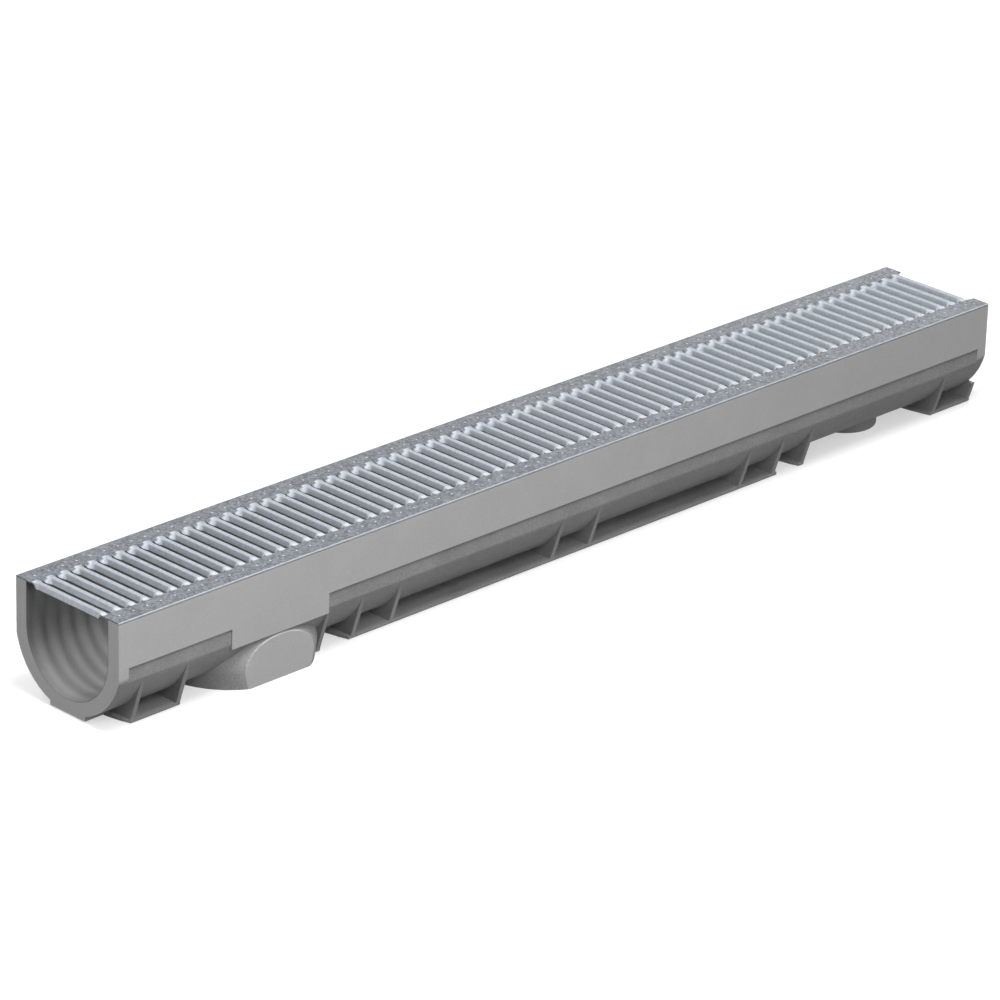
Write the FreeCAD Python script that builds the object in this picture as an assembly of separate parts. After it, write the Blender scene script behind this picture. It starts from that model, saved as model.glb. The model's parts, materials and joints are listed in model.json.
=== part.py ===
import FreeCAD, Part
import math
import os

# Channel drain: a one metre trough, cast in one piece, with a slotted steel grating on top.
# X runs along the channel from the outlet end at -X to the far end at +X, and Y runs across it.
# Z points up, and the origin is the middle of the underside. All sizes are in millimetres.

# Overall sizes; the height is taken from the feet to the grating's flat margins
length = 1000.0
width = 118.0
height = 96.2

# Trough: a round-bottomed gutter with upright sides
wall = 12.0
floor_thickness = 11.5
barrel_lift = 1.7
shoulder_height = 48.5

# Rim: a thick band along both long sides, flush with the frames at the two ends
rim_depth = 38.8
side_recess = 1.3
rim_chamfer = 0.7
frame_length = 10.0
frame_strip_width = 40.0
frame_strip_lift = 1.2

# Outlet: a round boss with a socket for a pipe, closed by a wall to knock out
outlet_from_end = 165.0
outlet_rim_diameter = 133.6
outlet_belly_diameter = 137.0
outlet_belly_height = 14.0
outlet_dome_radius = 33.0
socket_diameter = 110.6
socket_depth = 8.0
pipe_stop = 4.3
knock_out_wall = 4.0
knock_out_depth = 26.0
panel_length = 101.0
panel_bottom = 39.2

# Feet and ribs under the barrel; a rib's place is the middle of its thickness
foot_half_width = 44.5
foot_thickness = 3.2
foot_bulge = 7.0
foot_edge_radius = 1.8
rib_thickness = 4.0
rib_top = 40.5
rib_overhang = 2.5
near_rib_from_end = 26.5
near_rib_spacing = 46.0
outlet_rib_from_end = 218.5
middle_foot_length = 498.0
inner_rib_inset = 46.0
centre_rib_spacing = 43.5
far_foot_length = 52.0
far_rib_top = 19.5
pad_from_far_end = 118.0
pad_diameter = 60.0

# Grating: one sheet, slit across and folded into narrow webs between two flat margins
sheet = 1.2
web_pitch = 13.89
slit = 1.7
web_width = 3.6
web_rise = 1.9
slit_end = 42.0
fold_length = 6.5
first_web_from_end = 2.7

# Sizes that follow from the ones above
half_length = length / 2
half_width = width / 2
body_top = height - sheet
trough_radius = half_width - wall
trough_axis = barrel_lift + floor_thickness + trough_radius
barrel_rise = shoulder_height - barrel_lift
barrel_radius = (half_width**2 + barrel_rise**2) / (2 * barrel_rise)
barrel_axis = barrel_lift + barrel_radius
rim_bottom = body_top - rim_depth
outlet_x = outlet_from_end - half_length
fold_radius = (web_width - sheet) / 2
bend_zone = fold_radius * math.pi / 2
strip_half = (web_pitch - slit) / 2


def vec(x, y, z):
    return FreeCAD.Vector(x, y, z)


def barrel_side(z):
    """Half the width of the barrel's round outside at a height."""
    return math.sqrt(barrel_radius**2 - (barrel_axis - z)**2)


def barrel_height(y):
    """Height of the barrel's round outside at a distance from the middle."""
    return barrel_axis - math.sqrt(barrel_radius**2 - y**2)


def slab(x0, x1, half_y, z0, z1):
    """A block across the channel, symmetric about its middle."""
    return Part.makeBox(x1 - x0, 2 * half_y, z1 - z0, vec(x0, -half_y, z0))


def along_channel(edges, x0, x1):
    """Extrude a closed outline drawn at x = 0, from x0 to x1."""
    face = Part.Face(Part.Wire(edges))
    face.translate(vec(x0, 0, 0))
    return face.extrude(vec(x1 - x0, 0, 0))


def gutter(radius, axis, top, x0, x1):
    """A bar with a half-round bottom and upright sides."""
    left = vec(0, -radius, axis)
    right = vec(0, radius, axis)
    sides = Part.makePolygon([right, vec(0, radius, top), vec(0, -radius, top), left])
    bottom = Part.Arc(left, vec(0, 0, axis - radius), right).toShape()
    return along_channel(sides.Edges + [bottom], x0, x1)


def barrel():
    """The wall between the frames: upright sides, drawn in under the rim, and a round belly."""
    side = half_width - side_recess
    chamfer_y = half_width - rim_chamfer
    chamfer_z = body_top - rim_chamfer
    corner_z = barrel_height(side)
    half_outline = [
        vec(0, side, corner_z),
        vec(0, side, rim_bottom),
        vec(0, half_width, rim_bottom),
        vec(0, half_width, chamfer_z),
        vec(0, chamfer_y, body_top),
    ]
    other_half = [vec(0, -point.y, point.z) for point in reversed(half_outline)]
    outline = Part.makePolygon(half_outline + other_half)
    belly = Part.Arc(other_half[-1], vec(0, 0, barrel_lift), half_outline[0]).toShape()
    return along_channel(outline.Edges + [belly], -half_length, half_length)


def end_frame(x0):
    """The flange at one end, flush with the rim all the way down to the barrel."""
    chamfer_y = half_width - rim_chamfer
    chamfer_z = body_top - rim_chamfer
    half_outline = [
        vec(0, half_width, shoulder_height),
        vec(0, half_width, chamfer_z),
        vec(0, chamfer_y, body_top),
    ]
    other_half = [vec(0, -point.y, point.z) for point in reversed(half_outline)]
    outline = Part.makePolygon(half_outline + other_half)
    belly = Part.Arc(other_half[-1], vec(0, 0, barrel_lift), half_outline[0]).toShape()
    return along_channel(outline.Edges + [belly], x0, x0 + frame_length)


def outlet_panel():
    """The part of the side above the outlet that stays flush with the rim."""
    x0 = outlet_x - panel_length / 2
    return slab(x0, x0 + panel_length, half_width, panel_bottom, rim_bottom)


def outlet_boss():
    """The round boss of the outlet, domed at the top and cut flush with both sides."""
    rim_radius = outlet_rim_diameter / 2
    belly_radius = outlet_belly_diameter / 2
    dome_centre = belly_radius - outlet_dome_radius
    turn = outlet_dome_radius * math.sqrt(0.5)
    crown_z = outlet_belly_height + outlet_dome_radius
    belly = vec(belly_radius, 0, outlet_belly_height)
    dome_middle = vec(dome_centre + turn, 0, outlet_belly_height + turn)
    crown = vec(dome_centre, 0, crown_z)
    sides = Part.makePolygon([crown, vec(0, 0, crown_z), vec(0, 0, 0), vec(rim_radius, 0, 0), belly])
    dome = Part.Arc(belly, dome_middle, crown).toShape()
    profile = Part.Face(Part.Wire(sides.Edges + [dome]))
    boss = profile.revolve(vec(0, 0, 0), vec(0, 0, 1), 360)
    boss.translate(vec(outlet_x, 0, 0))
    flush = slab(outlet_x - belly_radius, outlet_x + belly_radius, half_width, 0, crown_z)
    return boss.common(flush)


def outlet_socket():
    """The pipe's socket up to its stop, and the hollow above it up to the wall to knock out."""
    radius = socket_diameter / 2
    socket = Part.makeCylinder(radius, socket_depth, vec(outlet_x, 0, 0))
    hollow = Part.makeCylinder(radius - pipe_stop, knock_out_depth, vec(outlet_x, 0, 0))
    kept = gutter(trough_radius + knock_out_wall, trough_axis, body_top,
                  outlet_x - radius, outlet_x + radius)
    return socket.fuse(hollow.cut(kept))


def rib(x, top):
    """A thin cross rib round a place, which carries the barrel down to the foot's edges."""
    slope = (barrel_side(rib_top) - foot_half_width) / (rib_top - foot_thickness)
    base = foot_thickness / 2
    base_y = foot_half_width - slope * (foot_thickness - base)
    top_y = foot_half_width + slope * (top - foot_thickness)
    outline = Part.makePolygon([
        vec(0, -base_y, base),
        vec(0, base_y, base),
        vec(0, top_y, top),
        vec(0, -top_y, top),
        vec(0, -base_y, base),
    ])
    return along_channel(outline.Edges, x - rib_thickness / 2, x + rib_thickness / 2)


def rounded_underneath(plate):
    """The plate with its bottom edges rounded."""
    bottom = [edge for edge in plate.Edges if edge.BoundBox.ZMax < foot_edge_radius / 2]
    return plate.makeFillet(foot_edge_radius, bottom)


def foot(x0, x1, bulge0, bulge1):
    """A flat plate to stand on, with its two ends bulging by their own amounts."""
    corners = [
        vec(x0, foot_half_width, 0),
        vec(x0, -foot_half_width, 0),
        vec(x1, -foot_half_width, 0),
        vec(x1, foot_half_width, 0),
    ]
    ends = []
    for first, last, middle_x in ((0, 1, x0 - bulge0), (2, 3, x1 + bulge1)):
        if middle_x in (x0, x1):
            ends.append(Part.makeLine(corners[first], corners[last]))
        else:
            ends.append(Part.Arc(corners[first], vec(middle_x, 0, 0), corners[last]).toShape())
    sides = [Part.makeLine(corners[1], corners[2]), Part.makeLine(corners[3], corners[0])]
    outline = Part.Wire([ends[0], sides[0], ends[1], sides[1]])
    return rounded_underneath(Part.Face(outline).extrude(vec(0, 0, foot_thickness)))


def feet_and_ribs():
    """The flat plates that the channel stands on, and the ribs between them and the barrel."""
    half_rib = rib_thickness / 2
    near_rib = near_rib_from_end - half_length
    second_rib = near_rib + near_rib_spacing
    outlet_rib = outlet_rib_from_end - half_length
    middle_end = middle_foot_length / 2
    middle_rib = middle_end - rib_overhang - half_rib
    inner_rib = middle_end - inner_rib_inset
    centre_rib = centre_rib_spacing / 2
    small_foot = -outlet_rib - half_rib - rib_overhang
    far_start = half_length - far_foot_length
    far_rib = far_start + rib_overhang + half_rib
    plates = [
        foot(near_rib - half_rib, second_rib + half_rib, foot_bulge, foot_bulge),
        foot(outlet_x, outlet_rib + half_rib, 0, 0),
        foot(-middle_end, middle_end, foot_bulge, foot_bulge),
        foot(small_foot, half_rib - outlet_rib, foot_bulge, 0),
        foot(far_start, half_length, foot_bulge, 0),
    ]
    places = [near_rib, second_rib, outlet_rib, -middle_rib, -inner_rib, -centre_rib,
              centre_rib, inner_rib, middle_rib, -outlet_rib, far_rib]
    ribs = [rib(x, rib_top) for x in places]
    return plates + ribs + [rib(half_length - half_rib, far_rib_top)]


def foot_pad():
    """A round pad under the barrel near the far end."""
    x = half_length - pad_from_far_end
    radius = pad_diameter / 2
    pad = Part.makeCylinder(radius, barrel_height(radius) + barrel_lift, vec(x, 0, 0))
    return rounded_underneath(pad)


def bottom_strip():
    """The flat strip under the near end, from its face to the near foot."""
    x1 = near_rib_from_end - half_length
    return slab(-half_length, x1, frame_strip_width / 2, frame_strip_lift, trough_axis)


def channel_body():
    """The trough with its rim, frames, outlet, feet and ribs, cast in one piece."""
    solids = [
        end_frame(-half_length),
        end_frame(half_length - frame_length),
        bottom_strip(),
        outlet_panel(),
        outlet_boss(),
        foot_pad(),
    ]
    body = barrel().multiFuse(solids + feet_and_ribs())
    body = body.cut(gutter(trough_radius, trough_axis, height, -length, length))
    return body.cut(outlet_socket()).removeSplitter()


def strip_point(distance, fold, offset, y, middle_z):
    """A point of the strip between two slits, found by its distance from the strip's middle.

    The strip bends evenly over its bend zone, and stays straight beyond it."""
    in_bend = max(-bend_zone, min(bend_zone, distance))
    beyond = distance - in_bend
    angle = fold * in_bend / bend_zone
    chord = 2 * math.sin(angle / 2) / angle if angle else 1.0
    x = in_bend * chord * math.cos(angle / 2) + beyond * math.cos(angle)
    z = -in_bend * chord * math.sin(angle / 2) - beyond * math.sin(angle)
    return vec(x + offset * math.sin(angle), y, middle_z + z + offset * math.cos(angle))


def web_section(y, fold, crown):
    """Corners of a web's cross-section at a place along it, folded by an angle at each side."""
    middle_z = crown - sheet / 2
    outside = [-strip_half, -bend_zone, -bend_zone / 2, 0, bend_zone / 2, bend_zone, strip_half]
    inside = [strip_half, bend_zone, 0, -bend_zone, -strip_half]
    points = [strip_point(distance, fold, sheet / 2, y, middle_z) for distance in outside]
    return points + [strip_point(distance, fold, -sheet / 2, y, middle_z) for distance in inside]


def flat_face(corners):
    """A flat face between corners."""
    return Part.Face(Part.makePolygon(corners + corners[:1]))


def twisted_solid(folded, flat):
    """A solid between two sections, with each twisted side made of two flat triangles."""
    faces = [flat_face(folded), flat_face(flat)]
    for index, corner in enumerate(folded):
        after = (index + 1) % len(folded)
        side = [corner, folded[after], flat[after], flat[index]]
        if corner.x + folded[after].x < 0:
            side = side[1:] + side[:1]
        faces.append(flat_face(side[:3]))
        faces.append(flat_face([side[0], side[2], side[3]]))
    return Part.Solid(Part.Shell(faces))


def web():
    """One web: folded to a narrow U along its middle, and opening out flat at both ends."""
    folded_y = slit_end - fold_length
    crown = height + web_rise
    folded = flat_face(web_section(-folded_y, math.pi / 2, crown))
    middle = folded.extrude(vec(0, 2 * folded_y, 0))
    ends = []
    for side in (-1, 1):
        section = web_section(side * folded_y, math.pi / 2, crown)
        ends.append(twisted_solid(section, web_section(side * slit_end, 0, height)))
    return middle.multiFuse(ends).removeSplitter()


def grating():
    """The pressed sheet: two flat margins joined by the row of folded webs."""
    under = height - sheet
    template = web()
    room = length - first_web_from_end - web_width / 2
    last = int(room // web_pitch)
    cells = []
    for index in range(last + 1):
        x = first_web_from_end - half_length + index * web_pitch
        x0 = x - web_pitch / 2 if index else -half_length
        x1 = x + web_pitch / 2 if index < last else half_length
        margins = slab(x0, x1, half_width, under, height)
        margins = margins.cut(slab(x0, x1, slit_end, under, height))
        copy = template.copy()
        copy.translate(vec(x, 0, 0))
        if index == 0:
            copy = copy.common(slab(x0, x1, half_width, 0, 2 * height))
        cells.append(margins.fuse(copy))
    return cells[0].multiFuse(cells[1:]).removeSplitter()


def save(name, shape):
    """Write one piece and print its size."""
    box = shape.optimalBoundingBox()
    print(name, "solids", len(shape.Solids), "valid", shape.isValid(),
          "volume", round(shape.Volume), "faces", len(shape.Faces),
          "x", round(box.XMin, 2), round(box.XMax, 2),
          "y", round(box.YMin, 2), round(box.YMax, 2),
          "z", round(box.ZMin, 2), round(box.ZMax, 2))
    shape.exportStep(os.path.join("parts", name + ".step"))


os.makedirs("parts", exist_ok=True)
save("channel_body", channel_body())
save("grating", grating())
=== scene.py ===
# %% [markdown]
# # A channel drain
# A channel drain is a trough that is sunk in the ground along a wall or across a drive. This one is
# a metre long. Its body is cast in one piece, and a pressed steel grating lies on top of it.
#
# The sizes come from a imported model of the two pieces, which is loaded first and never moved. The
# lesson then makes the two finishes, the body, the grating, and last the floor and the light.

# %% Load the frame
import json
import math
import bmesh
import bpy
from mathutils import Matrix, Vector

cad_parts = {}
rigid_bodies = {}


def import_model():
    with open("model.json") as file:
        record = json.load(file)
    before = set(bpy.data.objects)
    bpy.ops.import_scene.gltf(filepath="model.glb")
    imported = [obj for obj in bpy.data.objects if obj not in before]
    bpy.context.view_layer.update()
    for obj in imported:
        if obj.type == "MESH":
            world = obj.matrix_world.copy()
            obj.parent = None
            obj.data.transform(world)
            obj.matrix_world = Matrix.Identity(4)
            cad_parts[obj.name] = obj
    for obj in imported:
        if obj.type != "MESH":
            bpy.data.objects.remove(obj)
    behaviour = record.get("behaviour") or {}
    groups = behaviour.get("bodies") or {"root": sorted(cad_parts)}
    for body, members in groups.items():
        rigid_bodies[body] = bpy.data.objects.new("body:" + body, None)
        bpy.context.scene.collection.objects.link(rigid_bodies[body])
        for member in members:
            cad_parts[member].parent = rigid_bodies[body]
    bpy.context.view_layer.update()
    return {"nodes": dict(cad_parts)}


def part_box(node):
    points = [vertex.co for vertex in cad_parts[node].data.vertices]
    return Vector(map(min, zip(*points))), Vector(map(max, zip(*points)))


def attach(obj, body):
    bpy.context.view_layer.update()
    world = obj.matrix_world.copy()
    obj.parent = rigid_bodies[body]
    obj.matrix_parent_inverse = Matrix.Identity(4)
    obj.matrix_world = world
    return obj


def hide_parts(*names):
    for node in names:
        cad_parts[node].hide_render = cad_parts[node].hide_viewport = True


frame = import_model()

# %% [markdown]
# ## Working in millimetres
# Blender counts in metres, and a maker of sheet metal counts in millimetres. One small helper turns
# one into the other, so that every size below can be read as it stands on a drawing.
#
# The drain's length runs along X and its width along Y, with the origin in the middle, and it
# stands on Z = 0. Its near end, the one that the camera sees, is at -X.

# %% A helper for sizes, and the main sizes
def mm(value):
    """Millimetres as Blender's metres."""
    return value / 1000.0


_, body_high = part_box("channel_body")
sheet_low, sheet_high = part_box("grating")
half_length = body_high.x * 1000
half_width = body_high.y * 1000
body_top = body_high.z * 1000
sheet = 1.2
margin_top = body_top + sheet
print("Body:", round(2 * half_length, 1), "x", round(2 * half_width, 1), "x",
      round(body_top, 1), "mm")
print("Grating: from", round(sheet_low.z * 1000, 1), "to", round(sheet_high.z * 1000, 1),
      "mm high, with its margins' top at", round(margin_top, 1))

# %% [markdown]
# ## The camera
# The photographer stood well back with a long lens, about four metres from the drain and some
# twenty-three degrees above it. A long lens keeps the long edges nearly parallel. The camera's
# place and turn were worked out from the drain's own straight edges.

# %% Camera
camera_data = bpy.data.cameras.new("camera")
camera_data.lens = 188.48
camera_data.sensor_width = 36.0
camera_data.clip_end = 50.0
camera = bpy.data.objects.new("camera", camera_data)
camera.location = (-2.8276, -2.7270, 1.7331)
camera.rotation_euler = [math.radians(turn) for turn in (66.5899, -1.6025, -44.9498)]
bpy.context.scene.collection.objects.link(camera)
bpy.context.scene.camera = camera
bpy.context.scene.view_settings.view_transform = "Standard"
print("Camera at", [round(v, 3) for v in camera.location], "with a lens of", camera_data.lens, "mm")

# %% [markdown]
# ## Building node trees
# Materials and Geometry Nodes are both trees of nodes, joined by links. A few small helpers keep
# the cells below short: one adds a node, one feeds a socket, and one adds a sum and hands on its
# result.

# %% Small helpers for node trees
def add_socket(tree, name, direction, kind, value=None):
    """Add a named socket to a node group's interface."""
    socket = tree.interface.new_socket(name=name, in_out=direction, socket_type=kind)
    if value is not None:
        socket.default_value = value


def add_node(tree, kind, x, y, **settings):
    """Add a node at a place in the editor and set its properties."""
    node = tree.nodes.new(kind)
    node.location = (x, y)
    for name, value in settings.items():
        setattr(node, name, value)
    return node


def set_values(node, values):
    """Set a node's inputs by their names."""
    for name, value in values.items():
        node.inputs[name].default_value = value


def feed(tree, socket, source):
    """Give a socket a plain number, or link another socket to it."""
    if isinstance(source, (int, float)):
        socket.default_value = source
    else:
        tree.links.new(source, socket)


def add_math(tree, operation, sources, x, y):
    """Add a math node fed by sockets or plain numbers, and return its output."""
    node = add_node(tree, "ShaderNodeMath", x, y, operation=operation)
    for socket, source in zip(node.inputs, sources):
        feed(tree, socket, source)
    return node.outputs[0]


def show_helpers(*helpers):
    """Print the names of helpers that are ready for use."""
    print("Helpers:", ", ".join(helper.__name__ for helper in helpers))


show_helpers(add_socket, add_node, set_values, feed, add_math)

# %% [markdown]
# ## Grain, an effect that both finishes share
# A node group is a small machine that can be placed in many materials. This one makes grain: a fine
# noise and a coarse noise, mixed to one value round zero. Cast stone needs it for its sandy skin,
# and zinc needs it for its dull, cloudy patches. It puts out values only, and each material decides
# what they do.

# %% The grain group
grain = bpy.data.node_groups.new("grain", "ShaderNodeTree")
add_socket(grain, "Vector", "INPUT", "NodeSocketVector")
for name, value in (("Fine Scale", 900.0), ("Coarse Scale", 40.0), ("Fine Share", 0.5)):
    add_socket(grain, name, "INPUT", "NodeSocketFloat", value)
for name in ("Grain", "Fine", "Clouds"):
    add_socket(grain, name, "OUTPUT", "NodeSocketFloat")
grain_in = add_node(grain, "NodeGroupInput", -800, 0)
grain_out = add_node(grain, "NodeGroupOutput", 600, 0)
noises = []
for scale_name, detail, y in (("Fine Scale", 4.0, 200), ("Coarse Scale", 3.0, -200)):
    noise = add_node(grain, "ShaderNodeTexNoise", -500, y)
    set_values(noise, {"Detail": detail, "Roughness": 0.6})
    grain.links.new(grain_in.outputs["Vector"], noise.inputs["Vector"])
    grain.links.new(grain_in.outputs[scale_name], noise.inputs["Scale"])
    noises.append(add_math(grain, "SUBTRACT", (noise.outputs[0], 0.5), -250, y))
fine_noise, coarse_noise = noises
fine_share = grain_in.outputs["Fine Share"]
coarse_share = add_math(grain, "SUBTRACT", (1.0, fine_share), -250, -450)
fine_part = add_math(grain, "MULTIPLY", (fine_noise, fine_share), 0, 200)
coarse_part = add_math(grain, "MULTIPLY", (coarse_noise, coarse_share), 0, -200)
both_parts = add_math(grain, "ADD", (fine_part, coarse_part), 250, 0)
for name, result in (("Grain", both_parts), ("Fine", fine_noise), ("Clouds", coarse_noise)):
    grain.links.new(result, grain_out.inputs[name])
print("Grain group made with", len(grain.nodes), "nodes")

# %% [markdown]
# ## The cast finish
# The body is cast from sand and quartz bound with resin, in a smooth mould. It comes out as an
# even, matt, neutral light grey, with a faint sandy grain and slightly darker and lighter clouds.
#
# A picture wrapped round the body could show all this, but it would blur close by. Noise doesn't.
# Nothing here knows where the camera is: the noises read the object's own coordinates, so the grain
# stays on the piece when it is moved.

# %% Helpers for materials
def grey(level):
    """A neutral colour of one level."""
    return (level, level, level)


def new_material(name):
    """A material with nothing in it but its output and a Principled shader."""
    material = bpy.data.materials.new(name)
    material.use_nodes = True
    tree = material.node_tree
    return material, tree, tree.nodes["Principled BSDF"]


def add_coordinates(tree, x, y):
    """The object's own coordinates, whole and split into X, Y and Z."""
    place = add_node(tree, "ShaderNodeTexCoord", x, y).outputs["Object"]
    axes = add_node(tree, "ShaderNodeSeparateXYZ", x + 200, y)
    tree.links.new(place, axes.inputs[0])
    return place, *axes.outputs


def add_effect(tree, group, place, values, x, y):
    """Place a node group that reads the object's coordinates, with its own values."""
    effect = add_node(tree, "ShaderNodeGroup", x, y, node_tree=group)
    tree.links.new(place, effect.inputs["Vector"])
    set_values(effect, values)
    return effect.outputs


def add_ramp(tree, source, stops, x, y):
    """Turn a value into a colour that runs through the given stops."""
    ramp = add_node(tree, "ShaderNodeValToRGB", x, y)
    elements = ramp.color_ramp.elements
    while len(elements) < len(stops):
        elements.new(0.5)
    for element, (position, colour) in zip(elements, stops):
        element.position = position
        element.color = (*colour, 1.0)
    tree.links.new(source, ramp.inputs["Fac"])
    return ramp.outputs["Color"]


show_helpers(grey, new_material, add_coordinates, add_effect, add_ramp)

# %% Cast grey material
cast_grey, cast_tree, cast_shader = new_material("cast_grey")
cast_place, cast_x, cast_y, cast_z = add_coordinates(cast_tree, -2150, 500)
cast_grain = add_effect(cast_tree, grain, cast_place,
                        {"Fine Scale": 700.0, "Coarse Scale": 22.0, "Fine Share": 0.6}, -950, 0)
cast_dark, cast_light = 0.385, 0.465
cast_level = add_math(cast_tree, "ADD", (cast_grain["Grain"], 0.5), -700, 150)
cast_stops = ((0.30, grey(cast_dark)), (0.70, grey(cast_light)))
cast_even = add_ramp(cast_tree, cast_level, cast_stops, -450, 150)
print("Cast grey runs from", cast_dark, "to", cast_light)

# %% [markdown]
# ### Painted shade on the casting
# The outer flat faces keep the full grey. The barrel, the ribs and above all the inside get a
# darker colour, which is painted shade: it stands in for the shade under the rim and inside the
# trough. Masks tell these places apart: each is 1 where it holds and 0 elsewhere, with a soft
# border between. They need only a few lengths: how far a point lies from the two middle planes,
# how high it lies, and how far it is from the trough's own axis.

# %% Helpers for masks
def add_range(tree, source, limits, results, x, y, kind="LINEAR"):
    """Turn a value between two limits into one between two results."""
    node = add_node(tree, "ShaderNodeMapRange", x, y, interpolation_type=kind)
    names = ("Value", "From Min", "From Max", "To Min", "To Max")
    for name, value in zip(names, (source, *limits, *results)):
        feed(tree, node.inputs[name], value)
    return node.outputs["Result"]


def add_border(tree, source, limits, x, y):
    """Rise smoothly from 0 to 1 while a length goes from one limit to the other, given in mm."""
    start, end = limits
    return add_range(tree, source, (mm(start), mm(end)), (0.0, 1.0), x, y, "SMOOTHSTEP")


show_helpers(add_range, add_border)

# %% Where on the casting a point lies
trough_axis = 60.2
trough_radius = 47.0
trough_border = (trough_radius + 0.2, trough_radius + 0.5)
end_border = (half_length - 0.6, half_length - 0.4)
side_border = (58.0, 58.3)
cast_along = add_math(cast_tree, "ABSOLUTE", (cast_x,), -1750, 800)
cast_across = add_math(cast_tree, "ABSOLUTE", (cast_y,), -1750, 600)
cast_end = add_border(cast_tree, cast_along, end_border, -1550, 800)
cast_side = add_border(cast_tree, cast_across, side_border, -1550, 600)
cast_pale = add_math(cast_tree, "MAXIMUM", (cast_end, cast_side), -1300, 700)

cast_height = add_math(cast_tree, "SUBTRACT", (cast_z, mm(trough_axis)), -1750, 300)
cast_below = add_math(cast_tree, "MINIMUM", (cast_height, 0.0), -1550, 300)
cast_squares = [add_math(cast_tree, "POWER", (cast_y, 2.0), -1350, 150),
                add_math(cast_tree, "POWER", (cast_below, 2.0), -1350, 300)]
cast_square = add_math(cast_tree, "ADD", cast_squares, -1150, 250)
cast_radius = add_math(cast_tree, "SQRT", (cast_square,), -950, 300)
cast_outside = add_border(cast_tree, cast_radius, trough_border, -750, 350)
print("Pale from", side_border[1], "mm off the middle, inside up to", trough_radius,
      "mm off the axis")

# %% [markdown]
# The barrel gets a darker, mottled colour: painted shade with a random mottle. Inside the trough
# the walls are darker towards the top and paler at the bottom, painted shade under the grating.
# The corner right under the rim and the joint under the sheet's edge get a painted shadow that
# halves their tone. All this makes one factor for the even grey.

# %% Painted shade on the barrel and in the trough
# Painted shade: the barrel and the trough's walls are darker than the outer faces, the walls most
# near the top.
barrel_shade = 0.66
barrel_mottle = 0.6
bottom_shade, wall_shade = 0.51, 0.33
bottom_height, wall_height = 12.0, 45.0
cast_mottled_shade = add_math(cast_tree, "MULTIPLY_ADD",
                        (cast_grain["Grain"], barrel_mottle, barrel_shade), -950, 900)
cast_outer_shade = add_range(cast_tree, cast_pale, (0.0, 1.0), (cast_mottled_shade, 1.0), -750, 700)
cast_inner_shade = add_range(cast_tree, cast_z, (mm(bottom_height), mm(wall_height)),
                            (bottom_shade, wall_shade), -950, 550)
print("Tones: barrel", barrel_shade, " trough's bottom", bottom_shade, " its walls", wall_shade)

# %% Painted shadow in the corner and the joint
rim_bottom = 56.2
corner_border = (rim_bottom - 2.8, rim_bottom - 0.2)
joint_border = (body_top - 1.1, body_top - 0.5)
# Painted shadow: the corner under the rim and the joint under the sheet's edge lose up to this
# share of their tone.
painted_shade = 0.5
cast_shaded_faces = add_math(cast_tree, "SUBTRACT", (1.0, cast_pale), -1300, 1000)
cast_shares = []
for border, place, y in ((corner_border, cast_shaded_faces, 1000), (joint_border, cast_side, 1200)):
    shaded_line = add_math(cast_tree, "MULTIPLY",
                     (add_border(cast_tree, cast_z, border, -1550, y), place), -1100, y)
    cast_shares.append(add_math(cast_tree, "MULTIPLY_ADD", (shaded_line, -painted_shade, 1.0), -900, y))
cast_line_shade = add_math(cast_tree, "MULTIPLY", cast_shares, -700, 1100)
cast_tone = add_math(cast_tree, "MULTIPLY", (cast_outer_shade, cast_line_shade), -600, 900)
# The share printed here is painted shadow in the corner and the joint.
print("Dust takes up to", painted_shade, "of the tone under the rim and under the sheet's edge")

# %% Colour of the casting
def scale_colour(tree, colour, factor, shader, x, y):
    """Darken a colour by a factor and use it as the shader's base colour."""
    scaled = add_node(tree, "ShaderNodeVectorMath", x, y, operation="SCALE")
    tree.links.new(colour, scaled.inputs[0])
    tree.links.new(factor, scaled.inputs["Scale"])
    tree.links.new(scaled.outputs[0], shader.inputs["Base Color"])


# Inside the trough the painted shade of walls and bottom is used, outside the outer faces' tone
# with its painted shade.
cast_depth = add_range(cast_tree, cast_outside, (0.0, 1.0), (cast_inner_shade, cast_tone),
                       -500, 500)
scale_colour(cast_tree, cast_even, cast_depth, cast_shader, -200, 250)
print("Colour of", cast_grey.name, "made with", len(cast_tree.nodes), "nodes")

# %% [markdown]
# A tiny bump from the fine noise breaks up the sheen, and the clouds make the roughness uneven.

# %% Roughness and bump of the casting
def add_roughness(tree, source, shader, amount, middle):
    """Let a value make the surface's roughness uneven."""
    rough = add_math(tree, "MULTIPLY_ADD", (source, amount, middle), -500, -150)
    tree.links.new(rough, shader.inputs["Roughness"])


def add_bump(tree, height, shader, strength, distance):
    """Let a value raise and lower the surface by up to a distance in mm."""
    bump = add_node(tree, "ShaderNodeBump", -250, -300)
    set_values(bump, {"Strength": strength, "Distance": mm(distance)})
    tree.links.new(height, bump.inputs["Height"])
    tree.links.new(bump.outputs["Normal"], shader.inputs["Normal"])


add_roughness(cast_tree, cast_grain["Clouds"], cast_shader, amount=0.25, middle=0.62)
add_bump(cast_tree, cast_grain["Fine"], cast_shader, strength=0.25, distance=0.15)
set_values(cast_shader, {"Specular IOR Level": 0.2})
print("Material", cast_grey.name, "made with", len(cast_tree.nodes), "nodes")

# %% [markdown]
# ## The galvanised finish
# Steel that has been dipped in zinc shows spangle: flat crystals a few millimetres across, each one
# a little lighter or darker, duller or brighter than the next. A Voronoi texture cuts space into
# such cells and gives each a random colour, and two channels of that colour are enough here. A
# little noise on the coordinates keeps the crystals' borders from being straight.

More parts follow.
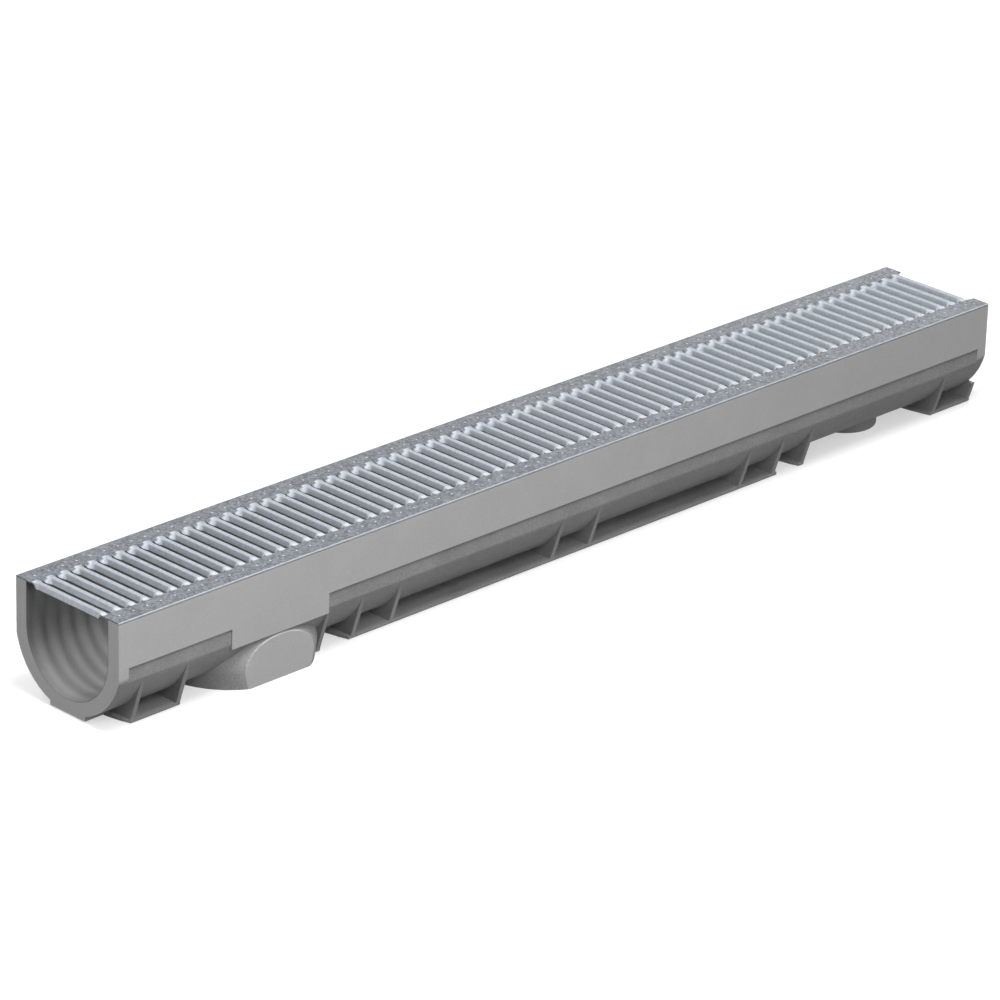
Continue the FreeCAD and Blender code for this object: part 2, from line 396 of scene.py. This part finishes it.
# %% The spangle group
spangle = bpy.data.node_groups.new("spangle", "ShaderNodeTree")
add_socket(spangle, "Vector", "INPUT", "NodeSocketVector")
for name, value in (("Crystals", 560.0), ("Wobble", 0.0015)):
    add_socket(spangle, name, "INPUT", "NodeSocketFloat", value)
for name in ("Tone", "Gloss"):
    add_socket(spangle, name, "OUTPUT", "NodeSocketFloat")
spangle_in = add_node(spangle, "NodeGroupInput", -900, 0)
spangle_out = add_node(spangle, "NodeGroupOutput", 500, 0)
wobble = add_node(spangle, "ShaderNodeTexNoise", -700, -200)
set_values(wobble, {"Scale": 300.0})
wobble_size = add_node(spangle, "ShaderNodeVectorMath", -450, -200, operation="SCALE")
wobbled = add_node(spangle, "ShaderNodeVectorMath", -250, 0, operation="ADD")
crystals = add_node(spangle, "ShaderNodeTexVoronoi", -50, 0)
crystal_parts = add_node(spangle, "ShaderNodeSeparateColor", 200, 0)
for source, socket in ((spangle_in.outputs["Vector"], wobble.inputs["Vector"]),
                       (wobble.outputs["Color"], wobble_size.inputs[0]),
                       (spangle_in.outputs["Wobble"], wobble_size.inputs["Scale"]),
                       (spangle_in.outputs["Vector"], wobbled.inputs[0]),
                       (wobble_size.outputs[0], wobbled.inputs[1]),
                       (wobbled.outputs[0], crystals.inputs["Vector"]),
                       (spangle_in.outputs["Crystals"], crystals.inputs["Scale"]),
                       (crystals.outputs["Color"], crystal_parts.inputs[0]),
                       (crystal_parts.outputs[0], spangle_out.inputs["Tone"]),
                       (crystal_parts.outputs[1], spangle_out.inputs["Gloss"])):
    spangle.links.new(source, socket)
print("Spangle group made with", len(spangle.nodes), "nodes")

# %% Galvanised material
galvanised, zinc_tree, zinc_shader = new_material("galvanised")
zinc_place, _, zinc_y, zinc_z = add_coordinates(zinc_tree, -1700, 300)
zinc_spangle = add_effect(zinc_tree, spangle, zinc_place, {}, -1050, 300)
zinc_grain = add_effect(zinc_tree, grain, zinc_place,
                        {"Fine Scale": 1200.0, "Coarse Scale": 90.0, "Fine Share": 0.4},
                        -1050, -200)
grain_in_zinc = 0.9
zinc_level = add_math(zinc_tree, "MULTIPLY_ADD",
                      (zinc_grain["Grain"], grain_in_zinc, zinc_spangle["Tone"]), -750, 50)
print("Material", galvanised.name, "places", spangle.name, "and", grain.name)

# %% [markdown]
# ### Painted sheen on the webs, painted shade on the margins
# The folded webs, the pips and the sheared outer edge get a bright colour, which is a painted
# sheen and highlight, and the flat margins get a dark, speckled one, which is painted shade: the
# two are lit and shaded copies of the same zinc. So a place is dark if it lies outside the webs'
# straight part, not above the margins' level and not at the very edge. The webs' crowns are a
# little darker than their flanks, a painted shade that dims their highlight.
#
# A border whose first limit is the larger one works the other way round: it is 1 below both.

# %% Where the zinc gets painted shade, and where its crowns are darker
# Painted shade on the margins, and painted sheen and highlight on the webs, pips and edge: these
# borders say where.
margin_border = (36.8, 39.3)
edge_border = (58.6, 58.3)
level_border = (margin_top + 0.25, margin_top + 0.04)
crown_border = (margin_top + 1.0, margin_top + 1.75)
crown_shade = 0.3
zinc_side = add_math(zinc_tree, "ABSOLUTE", (zinc_y,), -1300, 700)
zinc_shaded = add_border(zinc_tree, zinc_side, margin_border, -1050, 950)
for source, border, y in ((zinc_side, edge_border, 750), (zinc_z, level_border, 550)):
    zinc_shaded = add_math(zinc_tree, "MULTIPLY",
                         (zinc_shaded, add_border(zinc_tree, source, border, -1050, y)), -800, y)
# Painted shade on the crowns: they lose this share of their colour, which dims their highlight.
zinc_crown = add_border(zinc_tree, zinc_z, crown_border, -500, 700)
zinc_crown_shade = add_math(zinc_tree, "MULTIPLY_ADD", (zinc_crown, -crown_shade, 1.0), -250, 700)
# Printed: where the painted shade on the margins ends, and where the crowns' painted shade starts.
print("Dull zinc from", margin_border[1], "to", edge_border[1], "mm off the middle, trodden from",
      round(crown_border[1], 2), "mm up")

# %% Colour and gloss of the zinc
# Lit and shaded copies of one zinc: the bright tones are painted sheen, the dark ones painted
# shade.
lit_tones = ((0.395, 0.425, 0.47), (0.47, 0.50, 0.545))
shaded_tones = ((0.085, 0.092, 0.102), (0.195, 0.21, 0.23))
zinc_mix = add_node(zinc_tree, "ShaderNodeMix", -200, 250, data_type="RGBA")
mix_share, mix_first, mix_second, mix_colour = 0, 6, 7, 2
zinc_tree.links.new(zinc_shaded, zinc_mix.inputs[mix_share])
for (dark, light), socket, y in ((lit_tones, mix_first, 400),
                                 (shaded_tones, mix_second, 100)):
    zinc_tone = add_ramp(zinc_tree, zinc_level, ((0.0, dark), (1.0, light)), -500, y)
    zinc_tree.links.new(zinc_tone, zinc_mix.inputs[socket])
scale_colour(zinc_tree, zinc_mix.outputs[mix_colour], zinc_crown_shade, zinc_shader, 0, 400)
add_roughness(zinc_tree, zinc_spangle["Gloss"], zinc_shader, amount=0.16, middle=0.58)
add_bump(zinc_tree, zinc_grain["Grain"], zinc_shader, strength=0.2, distance=0.1)
set_values(zinc_shader, {"Metallic": 0.35, "Specular IOR Level": 0.3})
print("Material", galvanised.name, "made with", len(zinc_tree.nodes), "nodes")

# %% [markdown]
# ## The cast body
# The model's body has the right shape, but its edges are razor sharp, and a casting's never are.
# A copy of it gets its loose triangles merged and its flat faces dissolved into whole ones. Then
# a narrow Bevel rounds every sharp edge by half a millimetre, which catches a thin line of light.

# %% Merge the body's triangles
def count_triangles(mesh):
    """How many triangles a mesh has once its faces are split."""
    return sum(len(face.vertices) - 2 for face in mesh.polygons)


merge_distance = 0.002
flat_angle = 0.5
casting_mesh = frame["nodes"]["channel_body"].data.copy()
casting = bmesh.new()
casting.from_mesh(casting_mesh)
bmesh.ops.remove_doubles(casting, verts=casting.verts, dist=mm(merge_distance))
bmesh.ops.dissolve_limit(casting, angle_limit=math.radians(flat_angle), verts=casting.verts,
                         edges=casting.edges)
casting.to_mesh(casting_mesh)
casting.free()
casting_mesh.validate()
print("Body with whole faces:", len(casting_mesh.polygons), "faces of",
      count_triangles(casting_mesh), "triangles")

# %% [markdown]
# Smooth shading blends the normals of neighbouring faces, and beside a narrow bevel that would tilt
# the whole flat face. The Weighted Normal modifier gives the large faces the last word, so that
# flat faces look flat and only the rounding is round.

# %% Helpers for pieces
def new_piece(name, mesh, material):
    """Link a mesh as an object at the origin, with one material."""
    piece = bpy.data.objects.new(name, mesh)
    bpy.context.scene.collection.objects.link(piece)
    mesh.materials.clear()
    mesh.materials.append(material)
    return piece


def finished_mesh(piece, name):
    """The piece's mesh with its modifiers applied, as a plain mesh."""
    bpy.context.view_layer.update()
    evaluated = piece.evaluated_get(bpy.context.evaluated_depsgraph_get())
    mesh = bpy.data.meshes.new_from_object(evaluated)
    mesh.name = name
    return mesh


def weigh_normals(piece, sharp_angle):
    """Shade a piece smooth, and let the large faces rule the normals."""
    piece.data.shade_smooth()
    piece.data.set_sharp_from_angle(angle=math.radians(sharp_angle))
    weighing = piece.modifiers.new("weighing", "WEIGHTED_NORMAL")
    weighing.mode = "FACE_AREA"
    weighing.weight = 50
    weighing.keep_sharp = True
    piece.data = finished_mesh(piece, piece.name)
    piece.modifiers.clear()


show_helpers(new_piece, finished_mesh, weigh_normals)

# %% Body with rounded edges
casting_round = 0.5
rounded_from = 40
channel = new_piece("cast_channel", casting_mesh, cast_grey)
rounding = channel.modifiers.new("rounding", "BEVEL")
rounding.width = mm(casting_round)
rounding.segments = 2
rounding.limit_method = "ANGLE"
rounding.angle_limit = math.radians(rounded_from)
rounding.miter_outer = "MITER_SHARP"
rounding.use_clamp_overlap = True
channel.data = finished_mesh(channel, "cast_channel")
channel.modifiers.clear()
weigh_normals(channel, sharp_angle=32)
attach(channel, "root")
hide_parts("channel_body")
print("Cast body:", count_triangles(channel.data), "triangles")

# %% [markdown]
# ## The grating, one pitch at a time
# The grating starts as a flat strip of galvanised sheet. A press cuts slits across it, then folds
# the strip between two slits down at both sides, so that it turns into a narrow web like a U upside
# down. At both ends each web opens out again until it is flat and runs into the margin.
#
# So the shape follows a rule, and a rule is easier to change than a modelled mesh. Any point of the
# sheet is known by how far it lies from its web's middle line, and by how far along the web it is.
# The fold angle depends on the second, and the place of the point in the bend on the first.

# %% Sizes of the pressed sheet
web_pitch = 13.89
web_width = 3.6
web_rise = 1.9
first_web = 2.7
slit = 1.7
slit_end_gap = 0.3
straight_end = 33.0
crown_end = 36.4
taper_end = 39.4
slit_end = 42.0

strip_half = (web_pitch - slit) / 2
bend_zone = (web_width - sheet) / 2 * math.pi / 2
last_web = int((2 * half_length - first_web - web_width / 2) // web_pitch)
print("Webs:", last_web + 1, " flat strip", round(2 * strip_half, 2), "mm wide")

# %% The rule that folds the strip
def ease(value, start, end):
    """Rise smoothly from 0 at start to 1 at end."""
    share = max(0.0, min(1.0, (value - start) / (end - start)))
    return share * share * (3 - 2 * share)


def sheet_point(distance, along, side):
    """Where a point of the sheet lies, in mm, once its strip is folded.

    distance is measured across the strip from its middle, along is the place on the web's length,
    and side is 1 on the upper skin and -1 on the lower."""
    fold = math.pi / 2 * (1 - ease(abs(along), straight_end, slit_end))
    crown = web_rise * (1 - ease(abs(along), crown_end, slit_end))
    in_bend = max(-bend_zone, min(bend_zone, distance))
    beyond = distance - in_bend
    angle = fold * in_bend / bend_zone
    chord = math.sin(angle / 2) / (angle / 2) if angle else 1.0
    x = in_bend * chord * math.cos(angle / 2) + beyond * math.cos(angle)
    z = -in_bend * chord * math.sin(angle / 2) - beyond * math.sin(angle)
    skin = side * sheet / 2
    return Vector((mm(x + skin * math.sin(angle)), mm(along),
                   mm(margin_top - sheet / 2 + crown + z + skin * math.cos(angle))))


print("The strip's edge hangs", round(margin_top - sheet_point(strip_half, 0, -1).z * 1000, 1),
      "mm below the margins' top")

# %% [markdown]
# Near its ends a slit grows narrow, because the two strips beside it open out flat there and lie
# side by side again. The points of one pitch stand on a grid of columns across the strip and rows
# along the web, and most of them stand where the sheet bends.

# %% One pitch of the sheet
def slit_taper(column, row):
    """Move the slit's two edges together where the strips open out flat."""
    closing = (slit - slit_end_gap) / 2 * ease(abs(row), straight_end, taper_end)
    if column == strip_half:
        return column + closing
    if column in (-strip_half, strip_half + slit):
        return column - closing
    return column


bend_steps = 4
columns = [-strip_half, -(strip_half + bend_zone) / 2]
columns += [bend_zone * step / bend_steps for step in range(-bend_steps, bend_steps + 1)]
columns += [(strip_half + bend_zone) / 2, strip_half, strip_half + slit]
half_rows = [straight_end, 34.6, 36.2, 37.8, taper_end, 40.8, slit_end, 46.0, 52.0, half_width]
rows = [-row for row in reversed(half_rows)] + half_rows

pitch_shape = bmesh.new()
skins = {}
for side in (1, -1):
    for row in rows:
        for column in columns:
            place = sheet_point(slit_taper(column, row), row, side)
            skins[side, row, column] = pitch_shape.verts.new(place)
    for row, next_row in zip(rows, rows[1:]):
        for column, next_column in zip(columns, columns[1:]):
            in_slit = next_column == columns[-1] and abs(row + next_row) / 2 < slit_end
            if not in_slit:
                corners = [skins[side, row, column], skins[side, row, next_column],
                           skins[side, next_row, next_column], skins[side, next_row, column]]
                pitch_shape.faces.new(corners if side == 1 else corners[::-1])
print("One pitch has", len(pitch_shape.faces), "faces on its two skins")

# %% [markdown]
# The two skins still need walls between them: along both slit edges, at the slit's two ends, and
# along the sheet's outer edges. At the two sides where the next pitch follows, the shape stays
# open, and the neighbours' points merge there.

# %% Walls between the two skins
def add_wall(places):
    """Join the upper and lower skins along a line of places, given as (row, column)."""
    for here, after in zip(places, places[1:]):
        pitch_shape.faces.new([skins[1, *here], skins[-1, *here], skins[-1, *after],
                               skins[1, *after]])


slit_rows = [row for row in rows if abs(row) <= slit_end]
add_wall([(row, strip_half) for row in slit_rows])
add_wall([(row, -strip_half) for row in reversed(slit_rows)])
add_wall([(slit_end, strip_half), (slit_end, strip_half + slit)])
add_wall([(-slit_end, strip_half + slit), (-slit_end, strip_half)])
add_wall([(rows[0], column) for column in columns])
add_wall([(rows[-1], column) for column in reversed(columns)])
pitch_mesh = bpy.data.meshes.new("sheet_pitch")
pitch_shape.to_mesh(pitch_mesh)
pitch_shape.free()
print("One pitch with its walls:", len(pitch_mesh.polygons), "faces")

# %% [markdown]
# ## Repeating the pitch with Geometry Nodes
# Seventy-two webs would be dull to place by hand. A Geometry Nodes tree does it: a line of points,
# one for each web, then the pitch as an instance on each point. Realize Instances turns them into
# real mesh, Merge by Distance joins the neighbours, and Set Material gives the zinc finish. The
# numbers are inputs with names, so the same tree makes a longer grating or a wider pitch.

# %% The tree that repeats
row_tree = bpy.data.node_groups.new("row_of_webs", "GeometryNodeTree")
row_tree.is_modifier = True
for name, direction, kind, value in (
        ("Geometry", "INPUT", "NodeSocketGeometry", None),
        ("Count", "INPUT", "NodeSocketInt", 72),
        ("Start", "INPUT", "NodeSocketVector", None),
        ("Step", "INPUT", "NodeSocketVector", None),
        ("Merge Distance", "INPUT", "NodeSocketFloat", 0.00002),
        ("Finish", "INPUT", "NodeSocketMaterial", None),
        ("Geometry", "OUTPUT", "NodeSocketGeometry", None)):
    add_socket(row_tree, name, direction, kind, value)
row_in = add_node(row_tree, "NodeGroupInput", -700, 0).outputs
row_line = add_node(row_tree, "GeometryNodeMeshLine", -450, 150)
row_copies = add_node(row_tree, "GeometryNodeInstanceOnPoints", -200, 0)
row_real = add_node(row_tree, "GeometryNodeRealizeInstances", 0, 0)
row_merged = add_node(row_tree, "GeometryNodeMergeByDistance", 200, 0)
row_finish = add_node(row_tree, "GeometryNodeSetMaterial", 400, 0)
row_out = add_node(row_tree, "NodeGroupOutput", 600, 0)
for source, node, socket in ((row_in["Count"], row_line, "Count"),
                             (row_in["Start"], row_line, "Start Location"),
                             (row_in["Step"], row_line, "Offset"),
                             (row_line.outputs["Mesh"], row_copies, "Points"),
                             (row_in["Geometry"], row_copies, "Instance"),
                             (row_copies.outputs["Instances"], row_real, "Geometry"),
                             (row_real.outputs["Geometry"], row_merged, "Geometry"),
                             (row_in["Merge Distance"], row_merged, "Distance"),
                             (row_merged.outputs["Geometry"], row_finish, "Geometry"),
                             (row_in["Finish"], row_finish, "Material"),
                             (row_finish.outputs["Geometry"], row_out, "Geometry")):
    row_tree.links.new(source, node.inputs[socket])
print("Tree", row_tree.name, "made with", len(row_tree.nodes), "nodes")

# %% The row of webs
def repeated_mesh(piece, start, name):
    """Repeat a piece once for each web, from a start in mm, and return the row as a plain mesh.

    An input of the modifier is set through its socket's identifier, because a name isn't a key."""
    values = {"Count": last_web + 1, "Start": [mm(value) for value in start],
              "Step": (mm(web_pitch), 0.0, 0.0), "Finish": galvanised}
    repeat = piece.modifiers.new("repeat", "NODES")
    repeat.node_group = row_tree
    for item in row_tree.interface.items_tree:
        if item.in_out == "INPUT" and item.name in values:
            repeat[item.identifier] = values[item.name]
    mesh = finished_mesh(piece, name)
    piece.modifiers.clear()
    return mesh


grating = new_piece("grating_sheet", pitch_mesh, galvanised)
row_mesh = repeated_mesh(grating, (first_web - half_length, 0.0, 0.0), "grating_sheet")
print("Row of webs:", len(row_mesh.vertices), "vertices,", count_triangles(row_mesh), "triangles")

# %% [markdown]
# ## Trimming the two ends
# The first web stands so near the end that its flared ends are cut by the shear, and after the
# last one the margins run on to the end of the trough. Bisect cuts the mesh with a plane, Extrude
# lengthens the margins, and the open ends are then filled.

# %% Trim and close the ends
touching = mm(0.01)
on_the_cut = mm(0.001)
near_x = mm(-half_length)
far_x = mm(half_length)
sheet_shape = bmesh.new()
sheet_shape.from_mesh(row_mesh)
everything = sheet_shape.verts[:] + sheet_shape.edges[:] + sheet_shape.faces[:]
bmesh.ops.bisect_plane(sheet_shape, geom=everything, dist=on_the_cut, plane_co=(near_x, 0, 0),
                       plane_no=(-1, 0, 0), clear_outer=True)
open_far = [edge for edge in sheet_shape.edges
            if edge.is_boundary and min(v.co.x for v in edge.verts) > 0]
grown = bmesh.ops.extrude_edge_only(sheet_shape, edges=open_far)
for vertex in [item for item in grown["geom"] if isinstance(item, bmesh.types.BMVert)]:
    vertex.co.x = far_x
bmesh.ops.remove_doubles(sheet_shape, verts=sheet_shape.verts, dist=touching)
for end_x in (near_x, far_x):
    open_end = [edge for edge in sheet_shape.edges
                if edge.is_boundary and all(abs(v.co.x - end_x) < touching for v in edge.verts)]
    bmesh.ops.holes_fill(sheet_shape, edges=open_end, sides=0)
bmesh.ops.recalc_face_normals(sheet_shape, faces=sheet_shape.faces)
print("Edges left open:", sum(edge.is_boundary for edge in sheet_shape.edges))

# %% [markdown]
# ## Pips on the margins
# Between every two webs the press leaves a small round pip on each margin, about two millimetres
# across. One low dome is enough: the same tree repeats it, once along each margin.

# %% One pip
pip_radius = 1.15
pip_height = 0.45
pip_sunk = 0.05
pip_rings = 3
pip_sides = 12

pip_shape = bmesh.new()
pip_top = pip_shape.verts.new((0, 0, mm(pip_height)))
loops = []
for ring in range(1, pip_rings + 1):
    share = ring / pip_rings
    z = pip_height * (1 - share**2) - pip_sunk
    turns = [2 * math.pi * step / pip_sides for step in range(pip_sides)]
    loops.append([pip_shape.verts.new((mm(pip_radius * share * math.cos(turn)),
                                       mm(pip_radius * share * math.sin(turn)), mm(z)))
                  for turn in turns])
for step in range(pip_sides):
    after = (step + 1) % pip_sides
    pip_shape.faces.new((pip_top, loops[0][step], loops[0][after]))
    for inner, outer in zip(loops, loops[1:]):
        pip_shape.faces.new((inner[step], outer[step], outer[after], inner[after]))
pip_shape.faces.new(reversed(loops[-1]))
pip_mesh = bpy.data.meshes.new("pip")
pip_shape.to_mesh(pip_mesh)
pip_shape.free()
print("One pip has", len(pip_mesh.polygons), "faces")

# %% Two rows of pips
pip_place = 48.6
pip = new_piece("pip", pip_mesh, galvanised)
for side in (-1, 1):
    pip_start = (first_web + web_pitch / 2 - half_length, side * pip_place, margin_top)
    row_of_pips = repeated_mesh(pip, pip_start, "row_of_pips")
    sheet_shape.from_mesh(row_of_pips)
    print("Pips on one margin:", len(row_of_pips.vertices) // len(pip_mesh.vertices))
bpy.data.objects.remove(pip)

# %% [markdown]
# ## The sheet's outer edges
# A sheared edge of zinc-coated sheet is never square: the zinc runs round it and catches the light
# as a thin bright line. A bevel on the two long outer edges rounds it, and the zinc's bright colour
# at the very edge adds a painted highlight.

# %% Round the long edges
edge_round = 0.3
long_edges = [edge for edge in sheet_shape.edges
              if all(abs(abs(v.co.y) - mm(half_width)) < touching for v in edge.verts)
              and abs(edge.verts[0].co.z - edge.verts[1].co.z) < touching]
bmesh.ops.bevel(sheet_shape, geom=long_edges, offset=mm(edge_round), segments=2, profile=0.5,
                affect="EDGES")
sheet_mesh = bpy.data.meshes.new("grating_sheet")
sheet_shape.to_mesh(sheet_mesh)
sheet_shape.free()
sheet_mesh.materials.append(galvanised)
grating.data = sheet_mesh
weigh_normals(grating, sharp_angle=50)
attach(grating, "root")
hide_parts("grating")
print("Grating:", count_triangles(grating.data), "triangles")

# %% [markdown]
# ## The floor
# The floor is white to the eye and to mirrors, so that the background stays clean, yet it throws
# hardly any light up under the drain. Light Path tells these rays apart. The floor still shows the
# drain's shadow, because only about half of its white is its own glow and the lamps make the rest.
# Far from the drain, where the lamps no longer reach, it glows more and stays white to the horizon.

# %% Floor
floor_reach = 12.0
floor_height = -0.05
floor_mesh = bpy.data.meshes.new("floor")
floor_corners = [(x * floor_reach, y * floor_reach, 0)
                 for x, y in ((-1, -1), (1, -1), (1, 1), (-1, 1))]
floor_mesh.from_pydata(floor_corners, [], [(0, 1, 2, 3)])
floor = bpy.data.objects.new("floor", floor_mesh)
bpy.context.scene.collection.objects.link(floor)
floor.location.z = mm(floor_height)
print("Floor:", 2 * floor_reach, "m wide, at a height of", floor_height, "mm")

# %% White to the eye, dim to the light
def add_seen(tree, x, y):
    """1 for rays from the eye, a mirror or glass, and 0 for rays that carry light."""
    rays = add_node(tree, "ShaderNodeLightPath", x, y).outputs
    seen = add_math(tree, "MAXIMUM", (rays["Is Camera Ray"], rays["Is Glossy Ray"]), x + 250, y)
    return add_math(tree, "MAXIMUM", (seen, rays["Is Transmission Ray"]), x + 450, y)


def show_by_ray(tree, output, hidden, shown):
    """Use one shader for rays that carry light and another for rays that see."""
    mix = add_node(tree, "ShaderNodeMixShader", 500, 0)
    tree.links.new(add_seen(tree, -500, 500), mix.inputs["Fac"])
    tree.links.new(hidden.outputs[0], mix.inputs[1])
    tree.links.new(shown.outputs[0], mix.inputs[2])
    tree.links.new(mix.outputs[0], output.inputs["Surface"])


show_helpers(add_seen, show_by_ray)

# %% Floor material
floor_white = bpy.data.materials.new("floor_white")
floor_white.use_nodes = True
floor_tree = floor_white.node_tree
floor_tree.nodes.clear()
floor_out = add_node(floor_tree, "ShaderNodeOutputMaterial", 800, 0)
floor_dim = add_node(floor_tree, "ShaderNodeBsdfDiffuse", 0, 250)
floor_pale = add_node(floor_tree, "ShaderNodeBsdfDiffuse", -200, 0)
dim_level, pale_level = 0.08, 0.5
for diffuse, level in ((floor_dim, dim_level), (floor_pale, pale_level)):
    set_values(diffuse, {"Color": (*grey(level), 1.0)})
floor_place = add_node(floor_tree, "ShaderNodeTexCoord", -1000, -150)
floor_distance = add_node(floor_tree, "ShaderNodeVectorMath", -800, -150, operation="LENGTH")
floor_tree.links.new(floor_place.outputs["Object"], floor_distance.inputs[0])
glow_from, glow_to = 1.0, 3.5
near_glow, far_glow = 0.52, 1.0
floor_strength = add_range(floor_tree, floor_distance.outputs["Value"], (glow_from, glow_to),
                           (near_glow, far_glow), -500, -150, "SMOOTHSTEP")
floor_glow = add_node(floor_tree, "ShaderNodeEmission", -200, -150)
floor_tree.links.new(floor_strength, floor_glow.inputs["Strength"])
floor_bright = add_node(floor_tree, "ShaderNodeAddShader", 100, -50)
floor_tree.links.new(floor_pale.outputs[0], floor_bright.inputs[0])
floor_tree.links.new(floor_glow.outputs[0], floor_bright.inputs[1])
show_by_ray(floor_tree, floor_out, floor_dim, floor_bright)
floor_mesh.materials.append(floor_white)
print("Material", floor_white.name, "made with", len(floor_tree.nodes), "nodes")

# %% [markdown]
# ## The light
# Most light in the photograph comes from above, from large soft sources. The sky is weak low down
# and bright only near its top, and it is plain white to the eye, as the floor is.
#
# Seven lamps do the rest. A narrow one high up draws the grating's slots as stripes on the
# trough's inner wall. One at the side and a small near one lift the long side, which fades with
# the distance. One lights the near end's frame. The last three, high and low behind and at the far
# end, keep those sides from going black when the drain is turned.

# %% Sky
world = bpy.data.worlds.new("sky")
bpy.context.scene.world = world
world.use_nodes = True
sky_tree = world.node_tree
sky_tree.nodes.clear()
sky_out = add_node(sky_tree, "ShaderNodeOutputWorld", 900, 0)
sky_place = add_node(sky_tree, "ShaderNodeTexCoord", -900, 0)
sky_parts = add_node(sky_tree, "ShaderNodeSeparateXYZ", -700, 0)
sky_tree.links.new(sky_place.outputs["Generated"], sky_parts.inputs[0])
sky_levels = ((0.0, 0.12), (0.70, 0.12), (0.84, 0.80))
sky_colour = add_ramp(sky_tree, sky_parts.outputs[2],
                      [(height, grey(level)) for height, level in sky_levels], -450, 0)
sky_light = add_node(sky_tree, "ShaderNodeBackground", 200, 100)
sky_tree.links.new(sky_colour, sky_light.inputs["Color"])
sky_white = add_node(sky_tree, "ShaderNodeBackground", 200, -100)
set_values(sky_light, {"Strength": 1.0})
set_values(sky_white, {"Strength": 1.0, "Color": (*grey(1.0), 1.0)})
show_by_ray(sky_tree, sky_out, sky_light, sky_white)
print("Sky levels by height:", sky_levels)

# %% Lamps
def add_lamp(name, place, aim, size_x, size_y, power):
    """A white, rectangular area lamp at a place, turned towards a point."""
    data = bpy.data.lights.new(name, "AREA")
    data.shape = "RECTANGLE"
    data.size = size_x
    data.size_y = size_y
    data.energy = power
    lamp = bpy.data.objects.new(name, data)
    lamp.location = place
    lamp.rotation_euler = (Vector(aim) - Vector(place)).to_track_quat("-Z", "Y").to_euler()
    bpy.context.scene.collection.objects.link(lamp)
    return lamp


lamps = [
    add_lamp("high_lamp", (-0.45, -0.8, 2.9), (-0.35, 0.05, 0.02), 0.3, 1.2, 70.0),
    add_lamp("side_lamp", (-0.5, -2.8, 1.0), (-0.3, 0.0, 0.05), 1.0, 1.0, 23.0),
    add_lamp("near_lamp", (-0.7, -0.9, 1.0), (-0.5, 0.0, 0.05), 0.4, 0.4, 5.2),
    add_lamp("end_lamp", (-3.0, -0.2, 1.6), (-0.3, 0.0, 0.05), 1.0, 1.0, 32.0),
    add_lamp("back_lamp", (-0.2, 2.2, 2.6), (-0.2, 0.0, 0.05), 2.2, 1.8, 18.0),
    add_lamp("far_lamp", (1.9, 1.0, 0.95), (0.4, 0.0, 0.05), 0.8, 0.6, 12.0),
    add_lamp("fill_lamp", (0.2, 3.0, 0.6), (-0.1, 0.0, 0.05), 1.0, 1.0, 22.0),
]
print("Lamps in watts:", {lamp.name: round(lamp.data.energy, 1) for lamp in lamps})
